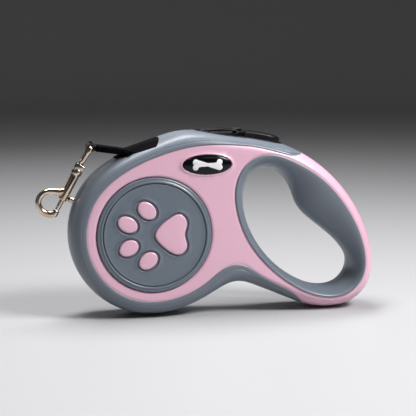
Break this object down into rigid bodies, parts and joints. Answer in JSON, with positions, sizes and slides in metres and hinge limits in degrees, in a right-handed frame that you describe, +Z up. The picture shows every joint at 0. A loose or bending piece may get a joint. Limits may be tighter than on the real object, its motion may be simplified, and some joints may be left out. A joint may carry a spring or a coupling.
{
  "type": "retractable leash",
  "caption": "Retractable dog leash: round spring reel case with a closed hand loop, thumb brake lever with lock, webbing tape and a swivel snap hook.",
  "frame": {"origin": "on the reel axis, on the plane where the two halves of the case meet", "axes": "+X from the reel towards the handle, +Z up as it stands, front face towards -Y"},
  "size_m": [0.1988, 0.0338, 0.1081],
  "materials": {
    "case_pink": "satin moulded plastic",
    "soft_grey": "matt soft-touch",
    "disc_grey": "fine matt texture",
    "black_plastic": "semi-gloss black",
    "badge_black": "high gloss",
    "badge_mark": "printed silver",
    "reel_plastic": "natural acetal",
    "steel": "zinc plated",
    "spring_steel": "oiled",
    "nickel": "warm nickel plate",
    "webbing": "woven nylon"
  },
  "bodies": {
    "case": {"front_shell": "case_pink", "back_shell": "case_pink", "front_rim": "soft_grey", "back_rim": "soft_grey", "front_grip": "soft_grey", "back_grip": "soft_grey", "front_disc": "disc_grey", "back_disc": "disc_grey", "front_paw_pads": "case_pink", "back_paw_pads": "case_pink", "front_badge": "badge_black", "back_badge": "badge_black", "front_badge_mark": "badge_mark", "back_badge_mark": "badge_mark", "outlet_nozzle": "black_plastic", "button_bezel": "black_plastic", "lever_pin": "steel", "lever_spring": "spring_steel", "arbor_axle": "reel_plastic", "mainspring": "spring_steel", "guide_pin": "steel", "case_screws": "steel"},
    "reel": {"reel_drum": "reel_plastic", "spring_cover": "reel_plastic", "tape_roll": "webbing"},
    "tape_end": {"tape_lead": "webbing", "tape_end_sleeve": "black_plastic", "tape_loop": "webbing"},
    "hook_eye": {"swivel_eye": "nickel"},
    "hook": {"snap_body": "nickel", "snap_spring": "spring_steel"},
    "hook_bolt": {"snap_bolt": "nickel"},
    "lever": {"brake_lever": "black_plastic"},
    "lock": {"lock_slider": "black_plastic"}
  },
  "joints": [
    {"name": "tape_pull", "type": "slide", "parent": "case", "child": "tape_end", "axis": [-0.9891, 0, 0.1469], "range_m": [0, 0.2164], "deforming": ["tape_lead"]},
    {"name": "reel_spin", "type": "hinge", "parent": "case", "child": "reel", "pos_m": [0, 0, 0], "axis": [0, -1, 0], "range_deg": [0, 360], "deforming": ["mainspring"]},
    {"name": "hook_swing", "type": "hinge", "parent": "tape_end", "child": "hook_eye", "pos_m": [-0.035, -0.0045, 0.05], "axis": [0, 1, 0], "range_deg": [0, 85]},
    {"name": "hook_swivel", "type": "hinge", "parent": "hook_eye", "child": "hook", "pos_m": [-0.04118, -0.0045, 0.03867], "axis": [-0.4787, 0, -0.878], "range_deg": [-120, 120]},
    {"name": "bolt_slide", "type": "slide", "parent": "hook", "child": "hook_bolt", "axis": [0.4787, 0, 0.878], "range_m": [0, 0.006], "stiffness_N_per_m": 150, "deforming": ["snap_spring"]},
    {"name": "brake_press", "type": "hinge", "parent": "case", "child": "lever", "pos_m": [0.031, 0, 0.054], "axis": [0, 1, 0], "range_deg": [0, 6], "stiffness_Nm_per_rad": 1.5, "deforming": ["lever_spring"]},
    {"name": "lock_slide", "type": "slide", "parent": "lever", "child": "lock", "axis": [1, 0, 0], "range_m": [0, 0.003]}
  ],
  "couplings": [
    {"joint": "reel_spin", "follows": "tape_pull", "rad_per_m": 29.02}
  ]
}
